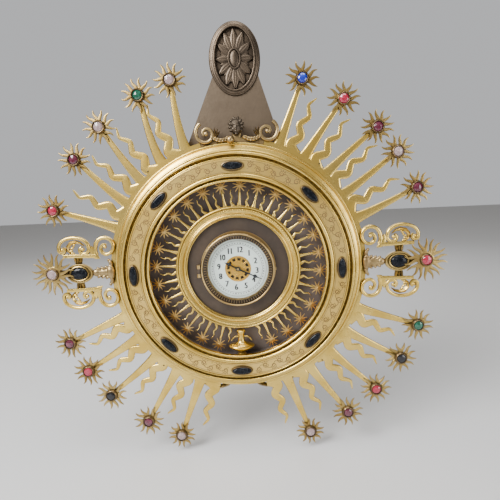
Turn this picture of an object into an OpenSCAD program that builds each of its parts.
// Monstrance glory turned into a wall clock: a jewelled sunburst round a deep gilt ring,
// an inner ring of small rays, and a two inch clock in the middle, on a back plate that
// hangs from an oval boss. Millimetres. +Z is up and the front faces -Y. The origin is the
// mouth of the hanging hole, on the wall. Depths are given as heights above the wall.

/* [Hanging] */
// Height of the hanging hole above the dial's axis
drop = 167; // [162:0.5:172]
// How far the hanging hole stands to the right of the dial's axis
lean = 4.7; // [0:0.1:6]
// Radius of the hanging hole
hang_hole_r = 3; // [2:0.1:4]
// Depth of the hanging hole, and so the gap between wall and back plate
back_h = 8; // [8:0.5:10]

/* [Main ring] */
// Outer radius of the ring's wall
ring_r = 96.2; // [96:0.1:97]
// Radius of the collar that covers the roots of the rays
collar_r = 102.2; // [101:0.1:103]
// Radius of the opening
opening_r = 71.4; // [71:0.1:72]
// Outer radius of the engraved band
band_r = 88.5; // [88:0.1:88.5]
// Inner radius of the engraved band
band_inner_r = 78; // [78:0.1:79]
// Radius of the circle of oblong agates
agate_pitch_r = 83.6; // [83:0.1:84]

/* [Rays] */
// Radius where the rays leave their plate
root_r = 106; // [104:0.5:107]
// Radius of the circle of star rosettes
star_pitch_r = 158.5; // [155:0.5:160]
// Tip radius of a star rosette
star_r = 12.4; // [11:0.1:12.5]
// Radius of the tips of the upper flames
flame_r = 150; // [146:0.5:152]
// Radius of the tips of the lower flames
lower_flame_r = 146; // [142:0.5:152]
// Width of a straight ray at its root
ray_w = 9; // [7:0.1:10]
// Width of a flame at its root
flame_w = 5.6; // [4:0.1:6]

/* [Side suns] */
// Distance of each side sun from the dial's axis
sun_x = 153; // [150:0.5:155]
// Tip radius of a side sun
sun_r = 18; // [16:0.1:18]

/* [Inner ring] */
// Radius of the circle of small stars
small_star_pitch_r = 68.5; // [67:0.1:69]
// Outer radius of the moulded inner ring
inner_ring_r = 51.8; // [51:0.1:52]
// Inner radius of the moulded inner ring
inner_open_r = 42.6; // [42:0.1:43]

/* [Clock] */
// Outer radius of the hinged bezel
bezel_r = 30.2; // [30:0.1:30.3]
// Turn of the dial, clockwise from upright
dial_turn = 7.5; // [0:0.5:10]
// Where the minute hand points, clockwise from upright
minute_at = 115; // [0:1:360]
// Where the hour hand points, clockwise from upright
hour_at = 297.5; // [0:0.5:360]

/* [Hidden] */
$fn = 96;
touch = 0.02;                 // how far shapes that are one piece run into each other

// Heights above the wall
plate_t = 2.5;
back_front = back_h + plate_t;
ray_h = back_front + 5.5;
ray_top = ray_h + plate_t;
band_seat = ray_top + 12.5;
band_t = 1;
star_t = 1.5;
sun_h = ray_top + 4.7;
small_h = back_front + 5.5;
small_t = 1.5;
disc_h = small_h - 1.5;

// Rays: where each leaves the plate and where its bent tip ends, clockwise from upright
upper_roots = [21, 33, 45, 57, 69];
lower_roots = [111, 123, 135, 147, 159];
upper_right_tips = [21, 34, 46.5, 55.7, 67.5];
upper_left_tips = [17, 27, 41.5, 53.5, 70];
lower_right_tips = [110, 121.5, 134, 145.5, 159];
lower_left_tips = [112, 122.5, 133, 147.5, 159];
upper_flames = [26.5, 38.5, 50, 62.5];
lower_flames = [115.5, 127, 139, 152.5, 165.5];
agates = 8;
screw_pitch_r = 99;
screw_r = 1.2;
screws = 8;
pin_r = 0.7;                  // pins that hold the engraved band
pin_foot = band_seat - 1.5;
band_pins = [pol(87.2, -112), pol(87.2, -123), pol(80.3, -162), pol(87.2, 99)];
side_rise = 1.5;              // the side ornaments stand this much above the dial's axis
small_pitch = 360 / 28;       // spacing of the small rays
small_turn = 3.6;             // turn of the small rays, clockwise

// Clock: heights above the wall
case_r = 28;
cover_h = 6.2;
rear_plate_h = 8.6;
rear_plate_top = 9.6;
front_plate_h = 15;
front_plate_top = 16;
dial_h = 19;
dial_top = 19.8;
bezel_h = 23;
hinge_x = -32;
hinge_h = 24.6;
hinge_r = 1.6;
running = 0.05;               // radial clearance of a shaft in its hole
pivot_r = 0.4;
arbor_r = 1;
key_arbor_r = 1.5;

// Gear train: module and teeth of each mesh
barrel_m = 0.3;
barrel_n = 72;
centre_pinion_n = 12;
centre_m = 0.28;
centre_n = 64;
leaf_n = 8;
third_m = 0.25;
third_n = 60;
fourth_m = 0.18;
fourth_n = 80;
motion_m = 0.3;
cannon_n = 12;
minute_n = 36;
hour_m = 0.288;
minute_pinion_n = 10;
hour_n = 40;
function mesh(m, a, b) = m * (a + b) / 2;
barrel_way = 180;
third_way = 50;
fourth_way = -49;
escape_way = -113;
minute_way = 120;
barrel_at = pol(mesh(barrel_m, barrel_n, centre_pinion_n), barrel_way);
third_at = pol(mesh(centre_m, centre_n, leaf_n), third_way);
fourth_at = third_at + pol(mesh(third_m, third_n, leaf_n), fourth_way);
escape_at = fourth_at + pol(mesh(fourth_m, fourth_n, leaf_n), escape_way);
minute_wheel_at = pol(mesh(motion_m, cannon_n, minute_n), minute_way);
pallet_at = escape_at + pol(5.6, -110);
balance_at = pallet_at + pol(7.9, -135);

// ---- drawing helpers ----
// A point at radius r and at angle a, clockwise from upright
function pol(r, a) = [r * sin(a), r * cos(a)];
// Points of an arc about c, anticlockwise from +X
function arc(c, r, a0, a1, n = 8) = [for (i = [0:n]) let(a = a0 + (a1 - a0) * i / n) c + r * [cos(a), sin(a)]];
function oval(rx, ry, n = 64) = [for (i = [0:n - 1]) let(a = 360 * i / n) [rx * cos(a), ry * sin(a)]];
function star(n, tip, valley, turn = 0) =
  [for (i = [0:2 * n - 1]) pol(i % 2 == 0 ? tip : valley, turn + i * 180 / n)];
function spiral(c, r0, r1, a0, a1, n = 30) =
  [for (i = [0:n]) let(a = a0 + (a1 - a0) * i / n, r = r0 + (r1 - r0) * i / n) c + r * [cos(a), sin(a)]];
function normal(p, i) =
  let(d = p[min(i + 1, len(p) - 1)] - p[max(i - 1, 0)]) [-d[1], d[0]] / norm(d);
// Outline of a band along the points p, of width w0 at the start and w1 at the end
function ribbon(p, w0, w1) = let(n = len(p) - 1) concat(
  [for (i = [0:n]) p[i] + normal(p, i) * (w0 + (w1 - w0) * i / n) / 2],
  [for (i = [n:-1:0]) p[i] - normal(p, i) * (w0 + (w1 - w0) * i / n) / 2]);
// Centre line of a flame that starts straight and waves towards its tip
function wave(r0, r1, amp, turns, n = 24) =
  [for (i = [0:n]) let(t = i / n) [amp * sin(360 * turns * t) * (1 - 0.35 * t), r0 + (r1 - r0) * t]];

module at_axis() translate([-lean, 0, -drop]) children();
module plate(h, t) translate([0, -h, 0]) rotate([90, 0, 0]) linear_extrude(t) children();
module turned(profile) rotate([90, 0, 0]) rotate_extrude() polygon(profile);
module rod(r, h0, h1) translate([0, -h0, 0]) rotate([90, 0, 0]) cylinder(r = r, h = h1 - h0);
module tube(r, bore, h0, h1) difference() {
  rod(r, h0, h1);
  rod(bore, h0 - 1, h1 + 1);
}
module place(p) translate([p[0], 0, p[1]]) children();
module round_at(r, n, turn = 0) for (i = [0:n - 1]) place(pol(r, turn + i * 360 / n)) children();
module ring2d(r, bore) difference() {
  circle(r);
  circle(bore);
}
module sector(r, bore, a0, a1) polygon(concat(
  [for (i = [0:32]) pol(r, a0 + (a1 - a0) * i / 32)],
  [for (i = [32:-1:0]) pol(bore, a0 + (a1 - a0) * i / 32)]));
module both_sides() {
  children();
  mirror([1, 0, 0]) children();
}

// ---- back plate and hanger ----
module hanger_outline(grow = 0) polygon([for (p = oval(20.4 + grow, 28.5 + grow)) p + [lean, drop]]);
module tongue() polygon([[lean - 18, drop - 12], [lean + 18, drop - 12], [33, 122], [42, 90], [-42, 90],
  [-28, 122]]);
module screw_holes() round_at(screw_pitch_r, screws, 22.5) rod(screw_r, back_h - 1, ray_top + 1);
module back_plate() color([0.42, 0.37, 0.31]) at_axis() difference() {
  union() {
    rod(103, back_h, back_front);
    plate(back_h, plate_t) {
      tongue();
      hanger_outline();
    }
  }
  rod(case_r, back_h - 1, back_front + 1);
  screw_holes();
}

module wall_pads() color([0.25, 0.22, 0.2]) {
  tube(14, hang_hole_r, 0, back_h);
  at_axis() for (a = [150, 210]) place(pol(84, a)) rod(7, 0, back_h);
}
module hanger_frame() color([0.46, 0.41, 0.35]) at_axis() {
  plate(back_front, 2) difference() {
    hanger_outline(-0.6);
    hanger_outline(-5.2);
  }
  plate(back_front + 2, 1.2) difference() {
    hanger_outline(-2.4);
    hanger_outline(-5.2);
  }
}
module hanger_rosette() color([0.4, 0.35, 0.3]) at_axis() translate([lean, 0, drop]) {
  plate(back_front, 1.6) polygon([for (i = [0:47]) let(a = i * 7.5, s = 0.9 + 0.1 * cos(12 * a))
    [14.4 * s * sin(a), 22.4 * s * cos(a)]]);
  plate(back_front + 1.6, 1.4) polygon(oval(4.4, 7.4, 40));
}

module spacer_ring() color([0.3, 0.26, 0.22]) at_axis() difference() {
  tube(102, 90, back_front, ray_h);
  screw_holes();
}
module fixing_screws() color([0.7, 0.62, 0.4]) at_axis() {
  round_at(screw_pitch_r, screws, 22.5) {
    rod(2.6, back_h - 1.6, back_h);
    rod(screw_r, back_h, ray_top + 1.2);
  }
  // pins that hold the engraved band
  for (p = band_pins) place(p) rod(pin_r, pin_foot, band_seat + band_t + 0.15);
}

// ---- main ring ----
module main_ring() color([0.85, 0.72, 0.45]) at_axis() difference() {
  turned(concat(
    [[collar_r, ray_top], [collar_r, ray_top + 1.4], [collar_r - 0.8, ray_top + 2.1],
     [ring_r + 0.4, ray_top + 2.1], [ring_r, ray_top + 2.5]],
    arc([ring_r - 1, band_seat - 1.9], 1, 0, 90, 4),
    [[94.4, band_seat - 0.9]],
    arc([93.2, band_seat - 0.2], 1.2, 0, 180, 6),
    [[91.7, band_seat - 1.7], [90.4, band_seat - 1.7]],
    arc([89.25, band_seat + 0.4], 0.75, 0, 180, 5),
    [[band_r, band_seat], [band_inner_r, band_seat]],
    arc([76.35, band_seat + 0.2], 1.65, 0, 180, 6),
    [[74.5, band_seat - 1.3], [73.6, band_seat - 1.3]],
    arc([72.4, band_seat - 0.8], 1, 0, 180, 6),
    [[opening_r, band_seat - 3.6], [76.5, band_seat - 6.5], [76.5, back_front], [78.5, back_front],
     [78.5, band_seat - 5], [80, band_seat - 2.2], [92, band_seat - 3.4], [94.2, band_seat - 4.4],
     [94.2, ray_top]]));
  for (p = band_pins) place(p) rod(pin_r, pin_foot, band_seat + 1);
  round_at(screw_pitch_r, screws, 22.5) rod(screw_r, ray_top - 1, ray_top + 1.2);
}
module engraved_band() color([0.88, 0.77, 0.52]) at_axis() plate(band_seat, band_t) difference() {
  ring2d(band_r, band_inner_r);
  for (p = band_pins) translate(p) circle(pin_r, $fn = 24);
}
// An oblong with round ends, lying along X
module oblong(length, width) {
  square([length - width, width], center = true);
  for (s = [-1, 1]) translate([s * (length - width) / 2, 0]) circle(width / 2, $fn = 40);
}
module at_agate(i) rotate([0, i * 360 / agates, 0]) translate([0, 0, agate_pitch_r]) children();
module agate_collets() color([0.55, 0.47, 0.33]) at_axis() for (i = [0:agates - 1]) at_agate(i)
  plate(band_seat + band_t, 2) difference() {
    oblong(17.6, 8);
    oblong(15, 5.4);
  }
module agate_cabochons() color([0.08, 0.09, 0.1]) at_axis() {
  for (i = [0:agates - 1]) at_agate(i) {
    plate(band_seat + band_t, 2.2) oblong(15, 5.4);
    plate(band_seat + band_t + 2.2, 0.7) oblong(13.4, 3.8);
  }
  both_sides() translate([131.9, 0, side_rise]) {
    plate(ray_top + plate_t, 1.5) polygon(oval(6.8, 5.2, 40));
    plate(ray_top + plate_t + 1.5, 0.6) polygon(oval(5.4, 3.9, 40));
  }
}

// ---- rays ----
// A straight tapered ray from its root to its bent tip
module ray(root, tip)
  polygon(ribbon([pol(root_r - 6, root), pol(root_r, root), pol(star_pitch_r, tip)], ray_w, 2.6));
module flame(a, tip_r) rotate(-a) polygon(ribbon(wave(root_r - 3, tip_r, 2.6, 2.25), flame_w, 1));
module ray_plate(a0, a1, roots, tips, flames, tip_r) color([0.88, 0.75, 0.48]) difference() {
  plate(ray_h, plate_t) {
    sector(root_r, 80, a0, a1);
    for (i = [0:len(roots) - 1]) ray(roots[i], tips[i]);
    for (a = flames) flame(a, tip_r);
  }
  screw_holes();
}
module upper_rays(tips) ray_plate(14, 79, upper_roots, tips, upper_flames, flame_r);
module lower_rays(tips) ray_plate(101, 169, lower_roots, tips, lower_flames, lower_flame_r);
module ray_plate_upper_right() at_axis() upper_rays(upper_right_tips);
module ray_plate_upper_left() at_axis() mirror([1, 0, 0]) upper_rays(upper_left_tips);
module ray_plate_lower_right() at_axis() lower_rays(lower_right_tips);
module ray_plate_lower_left() at_axis() mirror([1, 0, 0]) lower_rays(lower_left_tips);

// Every star's place, clockwise from upright: right side from the top down, then left side
star_angles = concat(upper_right_tips, lower_right_tips,
  [for (a = upper_left_tips) -a], [for (a = lower_left_tips) -a]);
module at_star(i) place(pol(star_pitch_r, star_angles[i])) children();
module ray_stars() color([0.82, 0.69, 0.4]) at_axis() for (i = [0:len(star_angles) - 1]) at_star(i)
  plate(ray_top, star_t) polygon(star(12, star_r, 6, star_angles[i]));
module at_sun(side) translate([side * sun_x, 0, side_rise + 0.7]) children();
module gem_collets() color([0.7, 0.57, 0.32]) at_axis() {
  for (i = [0:len(star_angles) - 1]) at_star(i) tube(5.2, 4, ray_top + star_t, ray_top + star_t + 2.1);
  for (side = [-1, 1]) at_sun(side) tube(5.4, 4.1, sun_h + star_t, sun_h + star_t + 2.1);
}
// A round stone with a domed top
module stone(r, h) rotate([90, 0, 0]) rotate_extrude($fn = 48) polygon(concat([[0, h]],
  [[r, h], [r, h + 1.2]], arc([0, h + 1.2 - 2.6], norm([r, 2.6]), atan2(2.6, r), 90, 6)));
module star_gems(list) at_axis() for (i = list) at_star(i) stone(4, ray_top + star_t);
module gems_ruby() color([0.6, 0.05, 0.1]) {
  star_gems([1, 7, 14, 16]);
  at_axis() at_sun(1) stone(4.1, sun_h + star_t);
}
module gems_garnet() color([0.32, 0.04, 0.12]) star_gems([2, 4, 8, 13, 15, 18]);
module gems_pale() color([0.9, 0.82, 0.8]) {
  star_gems([3, 9, 10, 12, 19]);
  at_axis() at_sun(-1) stone(4.1, sun_h + star_t);
}
module gems_green() color([0.02, 0.35, 0.2]) star_gems([5, 11]);
module gems_onyx() color([0.03, 0.03, 0.04]) star_gems([6, 17]);
module gem_sapphire() color([0.05, 0.12, 0.7]) star_gems([0]);

// ---- side ornaments ----
module side_suns() color([0.82, 0.69, 0.4]) at_axis() for (side = [-1, 1]) at_sun(side)
  plate(sun_h, star_t) union() {
    circle(6.4);
    for (i = [0:15]) rotate(i * 22.5) polygon(i % 2 == 0
      ? ribbon([[0, 5], [0, sun_r]], 3.4, 0.4)
      : ribbon(wave(5, sun_r, 1, 1, 10), 3.2, 0.4));
  }
// The panel above the setting on the right: a volute, its foot and bar, and a C scroll
module scroll_panel() plate(ray_top, plate_t) {
  polygon(ribbon(spiral([109.3, 22], 11, 1.9, -45, 450, 40), 2.7, 2.4));
  polygon([[115.4, 12.2], [144, 12.9], [144, 16.4], [126, 15.9], [122.4, 18.5], [120.6, 22], [117.5, 18]]);
  polygon(ribbon(concat(spiral([128.3, 20.2], 1.6, 5.4, 60, -180, 14),
    [for (a = [168:-8:8]) [135.65 + 12.75 * cos(a), 21.5 + 9.1 * sin(a)]],
    spiral([144.9, 20.1], 3.5, 1.6, -10, -240, 10)), 2.6, 2.4));
  polygon(ribbon([for (a = [160:-10:-50]) [132.3 + 7.2 * cos(a), 20.8 + 7.2 * sin(a)]], 1.2, 3.2));
}
module scroll_panels() color([0.9, 0.8, 0.55]) at_axis() translate([0, 0, side_rise]) both_sides() {
  scroll_panel();
  mirror([0, 0, 1]) scroll_panel();
}
// Oval collar round the black stone, with its links to the scrolls and its arm to the sun
module side_settings() color([0.7, 0.58, 0.34]) at_axis() both_sides() translate([0, 0, side_rise]) {
  plate(ray_top, plate_t) {
    translate([131.9, 0]) polygon(oval(11.3, 8.2));
    translate([128.4, 8]) square([9, 4.4 - touch]);
    mirror([0, 1]) translate([128.4, 8]) square([9, 4.4 - touch]);
    translate([140, -3]) square([13, 6.6]);
    translate([sun_x, 0.7]) circle(4);
  }
  plate(ray_top + plate_t, 1.6) difference() {
    translate([131.9, 0]) polygon(oval(11.3, 8.2));
    translate([131.9, 0]) polygon(oval(9.6, 6.8));
  }
  place([sun_x, 0.7]) rod(4, ray_top + plate_t, sun_h);
}
module leaf_bracket() {
  plate(ray_h, plate_t) sector(root_r, 80, 79, 101);
  translate([0, 0, side_rise]) plate(ray_top, 3.2) {
    polygon([[102.6, -5], [108, -6.5], [112, -3], [120.4, -3.6], [120.4, 3.6], [112, 3], [108, 6.5],
      [102.6, 5]]);
    for (s = [-1, 1]) polygon([[102.6, 4 * s], [107.5, 5 * s], [109, 9 * s],
      [106.5, 10.5 * s], [104.5, 11 * s], [102.6, 10 * s]]);
  }
}
module leaf_brackets() color([0.6, 0.5, 0.3]) at_axis() both_sides() leaf_bracket();

// ---- crest and stem bracket ----
crest_x = 4;
module crest_volute() polygon(ribbon(spiral([24.3, 109.6], 9, 1.6, 60, -400, 36), 2.9, 2.4));
module crest_scrolls() color([0.62, 0.54, 0.38]) at_axis() {
  plate(ray_h, plate_t) {
    sector(root_r, 80, -14, 14);
    translate([crest_x - 4, root_r - 4]) square([8, 17]);
  }
  translate([crest_x, 0, 0]) plate(ray_top, plate_t) both_sides() {
    crest_volute();
    polygon(ribbon([for (t = [0:0.1:1]) [5.6 + 13.6 * t, 106.3 - 2.4 * sin(180 * t)]], 3.6, 2.6));
  }
  // bead on a short stem, in front of the ring's collar
  place([-1, 103.9]) rod(1.2, ray_top, ray_top + 4);
  translate([-1, -(ray_top + 5.4), 103.9]) sphere(3.2);
}
module crest_mask() color([0.2, 0.16, 0.12]) at_axis() translate([crest_x, 0, 0]) intersection() {
  translate([0, -(ray_top + 2.4), 0]) rotate_extrude($fn = 48)
    polygon(concat([[0, 104.4]], [for (a = [-60:15:90]) [6 * cos(a), 112.8 + 8.6 * sin(a)]]));
  translate([-10, -(ray_top + 12), 100]) cube([20, 12, 30]);
}
module stem_bracket() color([0.6, 0.5, 0.3]) at_axis() {
  plate(ray_h, plate_t) sector(103, 80, 169, 191);
  plate(ray_h - 1.5, 1.5) both_sides()
    polygon([[9, -104.5], [16, -107.5], [24, -105.5], [25, -102.6], [12, -102.6]]);
  plate(ray_h - 1.5, 1.5 + plate_t) both_sides()
    polygon([[10, -101.9], [16, -101.9], [16, -104.2], [10, -104.2]]);
}

// ---- inner ring ----
function small_at(i) = small_turn + i * small_pitch;
// Two places are left out at the foot, where the post stands
small_rays = [for (i = [0:27]) if (i != 13 && i != 14) i];
module inner_ray_plate() color([0.8, 0.67, 0.42]) at_axis() {
  tube(inner_ring_r + 0.4, inner_open_r, small_h, small_h + small_t);
  plate(small_h, small_t) small_ray_outlines();
}
module small_ray_outlines() {
  for (i = small_rays) rotate(-small_at(i)) polygon(ribbon([[0, 51], [0, small_star_pitch_r]], 2, 1.1));
  for (i = [0:27]) if (i != 13) rotate(-small_at(i + 0.5))
    polygon(ribbon(wave(51, 66, 0.9, 1.5, 12), 2.2, 0.6));
}
module small_stars() color([0.75, 0.6, 0.36]) at_axis() for (i = small_rays)
  place(pol(small_star_pitch_r, small_at(i))) plate(small_h + small_t, 1.1) polygon(star(9, 6, 1.5, 11));
module inner_bezel() color([0.86, 0.73, 0.46]) at_axis() turned(concat(
  [[inner_open_r, small_h + small_t], [inner_ring_r, small_h + small_t]],
  arc([50.8, small_h + 2.6], 1, 0, 180, 6),
  [[49, small_h + 2.4], [45.6, small_h + 3.2]],
  arc([44.3, small_h + 3.2], 1.3, 20, 180, 6)));
module baluster_post() color([0.85, 0.7, 0.42]) at_axis() translate([0, -(small_h + 4.6), -76.4])
  rotate_extrude($fn = 48) polygon([[0, 0], [3.4, 0], [4.3, 2.2], [2.8, 4.4], [4.6, 6.2], [7, 8.6],
    [7.7, 10.4], [7, 11.4], [4.4, 12.2], [3.2, 13.6], [2.6, 16.2], [2.4, 18.6], [2.9, 20.6], [3.6, 22.4],
    [3.2, 23.9], [0, 23.9]]);
module surround_disc() color([0.33, 0.28, 0.24]) at_axis() turned([[case_r, disc_h], [40, disc_h],
  [40, back_front], [inner_open_r - 0.6, back_front], [inner_open_r - 0.6, disc_h], [inner_open_r + 3, disc_h],
  [inner_open_r + 3, small_h],
  [case_r, small_h]]);

// ---- clock: case, dial and bezel ----
module clock_case() color([0.7, 0.56, 0.33]) at_axis() {
  difference() {
    union() {
      turned([[case_r - 0.8, cover_h], [case_r, cover_h], [case_r, small_h], [31.4, small_h],
        [31.4, small_h + 0.9], [case_r, small_h + 0.9], [case_r, bezel_h - 0.1],
        [case_r - 0.8, bezel_h - 0.1]]);
      for (s = [-1, 1]) translate([0, 0, s * 3.7 - 1.5]) {
        translate([-33.2, -22.6, 0]) cube([5.8, 2.2, 3]);
        translate([-33.2, -hinge_h, 0]) cube([2.6, 4, 3]);
        translate([hinge_x, -hinge_h, 0]) cylinder(r = hinge_r, h = 3, $fn = 40);
      }
    }
    rod(case_r - 0.8, cover_h - 1, bezel_h + 1);
  }
  translate([hinge_x, -hinge_h, -5.2]) cylinder(r = 0.6, h = 10.4, $fn = 32);
}
module rear_cover() color([0.72, 0.58, 0.34]) at_axis() difference() {
  rod(case_r - 0.8, cover_h, cover_h + 0.8);
  rod(arbor_r + 0.4, cover_h - 1, cover_h + 2);
  place(barrel_at) rod(key_arbor_r + 0.4, cover_h - 1, cover_h + 2);
}
module dial() color([0.9, 0.93, 0.88]) at_axis() tube(case_r - 0.8, 2, dial_h, dial_top);
module dial_centre() color([0.8, 0.62, 0.25]) at_axis() plate(dial_top, 0.3) difference() {
  ring2d(10.8, 2);
  for (i = [0:11]) translate(pol(8, dial_turn + i * 30)) circle(1.1, $fn = 24);
}
module sight_ring() color([0.72, 0.56, 0.3]) at_axis()
  turned([[25.1, dial_top], [27.2, dial_top], [27.2, 22.7], [26.6, 22.7], [25.1, 20.8]]);
module clock_bezel() color([0.86, 0.72, 0.42]) at_axis() difference() {
  union() {
    turned(concat([[26.6, bezel_h], [bezel_r, bezel_h], [bezel_r, bezel_h + 2]],
      arc([28.4, bezel_h + 2.6], 1.8, 0, 120, 8), [[27.2, bezel_h + 3.6], [25.6, bezel_h + 3],
      [25.6, bezel_h + 2.3], [26.6, bezel_h + 2.3]]));
    translate([hinge_x, -hinge_h, -2]) cylinder(r = hinge_r, h = 4, $fn = 40);
    translate([hinge_x, -hinge_h - 0.8, -2]) cube([2.2, 1.6, 4]);
    translate([bezel_r - 0.3, -bezel_h - 2, -2]) cube([1.8, 1.4, 4]);
  }
  translate([hinge_x, -hinge_h, -3]) cylinder(r = 0.6 + running, h = 6, $fn = 32);
}
module crystal() color([0.8, 0.9, 0.95, 0.3]) at_axis() turned(concat(
  [[26.6, bezel_h + 1.3], [26.6, bezel_h + 2.3], [25.4, bezel_h + 2.3]],
  arc([0, -63.2], norm([25.4, 88.5]), atan2(88.5, 25.4), 90, 8),
  arc([0, -64.4], norm([25.4, 88.7]), 90, atan2(88.7, 25.4), 8)));

// ---- clock: movement ----
// Tooth outline: involute flanks of pressure angle 25 degrees, short teeth with side play
function inv(a) = tan(a) * 180 / PI - a;
function half_tooth(n, r, base) = 82 / n + inv(25) - (r > base ? inv(acos(base / r)) : 0);
function gear_points(m, n, turn) = let(rp = m * n / 2, base = rp * cos(25),
  radii = [rp - m, rp, rp + 0.7 * m])
  [for (i = [0:n - 1], j = [0:5]) let(r = radii[j < 3 ? j : 5 - j], w = half_tooth(n, r, base))
    pol(r, turn + i * 360 / n + (j < 3 ? -w : w))];
module gear(m, n, turn, h, t, bore) plate(h, t) difference() {
  polygon(gear_points(m, n, turn));
  circle(bore, $fn = 32);
}
// A wheel with four arms
module wheel(m, n, turn, h, t, hub, bore) plate(h, t) difference() {
  polygon(gear_points(m, n, turn));
  difference() {
    circle(m * n / 2 - 1.8 * m - 0.5);
    circle(hub);
    square([1.1, m * n], center = true);
    square([m * n, 1.1], center = true);
  }
  circle(bore, $fn = 32);
}
// Turn of a wheel with a tooth, and of a pinion with a gap, on the line of centres
function on_line(way) = way;
function gap_on_line(way, n) = way + 180 + 180 / n;
module spindle() rod(pivot_r, rear_plate_h, front_plate_top - touch);

module movement_plates() color([0.78, 0.63, 0.36]) at_axis() {
  for (h = [rear_plate_h, front_plate_h]) difference() {
    rod(26.4, h, h + 1);
    rod(arbor_r + running, h - 1, h + 2);
    place(barrel_at) rod(key_arbor_r + running, h - 1, h + 2);
    for (p = [third_at, fourth_at, escape_at, pallet_at, balance_at]) place(p)
      rod(pivot_r + running, h - 1, h + 2);
  }
  place(minute_wheel_at) rod(0.5, front_plate_top, 18.5);
}
module plate_pillars() color([0.7, 0.56, 0.33]) at_axis()
  round_at(23.8, 4, 45) rod(1.2, rear_plate_top, front_plate_h);
module centre_arbor() color([0.7, 0.7, 0.72]) at_axis() {
  rod(arbor_r, 5, 22.9);
  gear(motion_m, cannon_n, gap_on_line(minute_way, cannon_n) + 180, 16.3, 0.8, arbor_r - touch);
}
// A hand with a spade near its tip
module hand(length, spade_r, w, hub) {
  circle(hub);
  polygon([[-w, 0], [w, 0], [w * 0.7, spade_r - 1.6], [-w * 0.7, spade_r - 1.6]]);
  polygon([[-w * 0.7, spade_r - 1.8], [w * 0.7, spade_r - 1.8], [1.5, spade_r - 0.4], [1.2, spade_r + 0.8],
    [0.35, spade_r + 2], [0.15, length], [-0.15, length], [-0.35, spade_r + 2], [-1.2, spade_r + 0.8],
    [-1.5, spade_r - 0.4]]);
}
module minute_hand() color([0.1, 0.09, 0.09]) at_axis() rotate([0, minute_at, 0])
  plate(21.7, 0.4) difference() {
  hand(21.4, 15.5, 0.55, 1.8);
  circle(arbor_r, $fn = 32);
}
module setting_knob() color([0.75, 0.6, 0.34]) at_axis() tube(3.2, arbor_r, 1.5, 5.6);
module hour_wheel() color([0.78, 0.63, 0.36]) at_axis() {
  wheel(hour_m, hour_n, on_line(minute_way), 17.4, 0.6, 2.2, arbor_r + running);
  tube(1.6, arbor_r + running, 17.4 + touch, 21.1);
}
module hour_hand() color([0.1, 0.09, 0.09]) at_axis() rotate([0, hour_at, 0])
  plate(20.6, 0.4) difference() {
  hand(12.2, 8.6, 0.7, 2.4);
  circle(1.6, $fn = 32);
}
module minute_wheel() color([0.78, 0.63, 0.36]) at_axis() place(minute_wheel_at) {
  wheel(motion_m, minute_n, on_line(minute_way + 180), 16.4, 0.6, 1.9, 0.5 + running);
  gear(hour_m, minute_pinion_n, gap_on_line(minute_way, minute_pinion_n), 17 - touch, 1.2, 0.5 + running);
}
module centre_wheel() color([0.8, 0.65, 0.38]) at_axis() {
  gear(barrel_m, centre_pinion_n, gap_on_line(barrel_way + 180, centre_pinion_n), 9.8, 1.6, arbor_r + running);
  tube(1.45, arbor_r + running, 11.4 - touch, 13.6 + touch);
  wheel(centre_m, centre_n, on_line(third_way), 13.6, 0.6, 2.4, arbor_r + running);
}
module third_wheel() color([0.8, 0.65, 0.38]) at_axis() place(third_at) {
  spindle();
  gear(centre_m, leaf_n, gap_on_line(third_way, leaf_n), 13.3, 1.2, pivot_r - touch);
  wheel(third_m, third_n, on_line(fourth_way), 10.2, 0.6, 1.4, pivot_r - touch);
}
module fourth_wheel() color([0.8, 0.65, 0.38]) at_axis() place(fourth_at) {
  spindle();
  gear(third_m, leaf_n, gap_on_line(fourth_way, leaf_n), 9.9, 1.2, pivot_r - touch);
  wheel(fourth_m, fourth_n, on_line(escape_way), 12.4, 0.5, 1.4, pivot_r - touch);
}
module escape_wheel() color([0.8, 0.65, 0.38]) at_axis() place(escape_at) {
  spindle();
  gear(fourth_m, leaf_n, gap_on_line(escape_way, leaf_n), 12.1, 1.1, pivot_r - touch);
  plate(10.6, 0.5) difference() {
    polygon([for (i = [0:14], j = [0:2]) pol([4.2, 3, 2.9][j], i * 24 + [0, 3, 20][j])]);
    circle(pivot_r - touch, $fn = 32);
  }
}
module pallet_lever() color([0.7, 0.7, 0.72]) at_axis() place(pallet_at) {
  spindle();
  plate(11.4, 0.5) rotate(110) difference() {
    union() {
      circle(1.1);
      polygon(ribbon([[-3.3, 3.4], [-2.6, 1.6], [0, 0.3], [2.6, 1.6], [3.3, 3.4]], 0.9, 0.9));
      polygon([[-0.4, 0], [0.4, 0], [0.3, -4.2], [-0.3, -4.2]]);
    }
    circle(pivot_r - touch, $fn = 32);
  }
  for (s = [-1, 1]) rotate([0, -110, 0]) translate([s * 3.2, 0, 3.2])
    plate(10.6, 0.9) square([0.5, 0.7], center = true);
}
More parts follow.
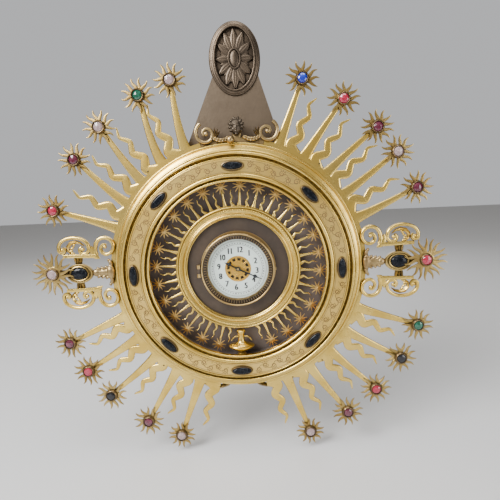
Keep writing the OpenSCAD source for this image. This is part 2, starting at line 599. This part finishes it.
module balance_wheel() color([0.8, 0.66, 0.4]) at_axis() place(balance_at) {
  spindle();
  tube(6.4, 5.5, 12.4, 13.2);
  plate(12.5, 0.5) difference() {
    union() {
      square([11.4, 1], center = true);
      circle(1.2);
    }
    circle(pivot_r - touch, $fn = 32);
  }
  tube(0.9, pivot_r - touch, 13 - touch, 14.6);
}
module hairspring() color([0.25, 0.3, 0.45]) at_axis() place(balance_at) plate(13.8, 0.5)
  polygon(ribbon(spiral([0, 0], 1.3, 4.6, 0, 1800, 100), 0.16, 0.16));
module barrel() color([0.78, 0.63, 0.36]) at_axis() place(barrel_at) {
  gear(barrel_m, barrel_n, on_line(barrel_way + 180), 9.9, 0.7, key_arbor_r + running);
  tube(10.1, 9.6, 10.6 - touch, 13.2);
}
module mainspring() color([0.3, 0.33, 0.4]) at_axis() place(barrel_at) plate(10.7, 2.2)
  polygon(ribbon(spiral([0, 0], 3, 9.4, 0, 360 * 6, 120), 0.4, 0.4));
module winding_key() color([0.75, 0.6, 0.34]) at_axis() place(barrel_at) {
  rod(key_arbor_r, 4, front_plate_top);
  rod(2.7, 1.5, 5.4);
  plate(1.5, 1.6) for (s = [-1, 1]) translate([s * 5, 0]) circle(3);
}

back_plate();
wall_pads();
hanger_frame();
hanger_rosette();
spacer_ring();
fixing_screws();
main_ring();
engraved_band();
agate_collets();
agate_cabochons();
ray_plate_upper_right();
ray_plate_upper_left();
ray_plate_lower_right();
ray_plate_lower_left();
ray_stars();
gem_collets();
gems_ruby();
gems_garnet();
gems_pale();
gems_green();
gems_onyx();
gem_sapphire();
side_suns();
scroll_panels();
side_settings();
leaf_brackets();
crest_scrolls();
crest_mask();
stem_bracket();
inner_ray_plate();
small_stars();
inner_bezel();
baluster_post();
surround_disc();
clock_case();
rear_cover();
dial();
dial_centre();
sight_ring();
movement_plates();
plate_pillars();
hairspring();
clock_bezel();
crystal();
centre_arbor();
minute_hand();
setting_knob();
hour_wheel();
hour_hand();
minute_wheel();
centre_wheel();
third_wheel();
fourth_wheel();
escape_wheel();
pallet_lever();
balance_wheel();
barrel();
mainspring();
winding_key();
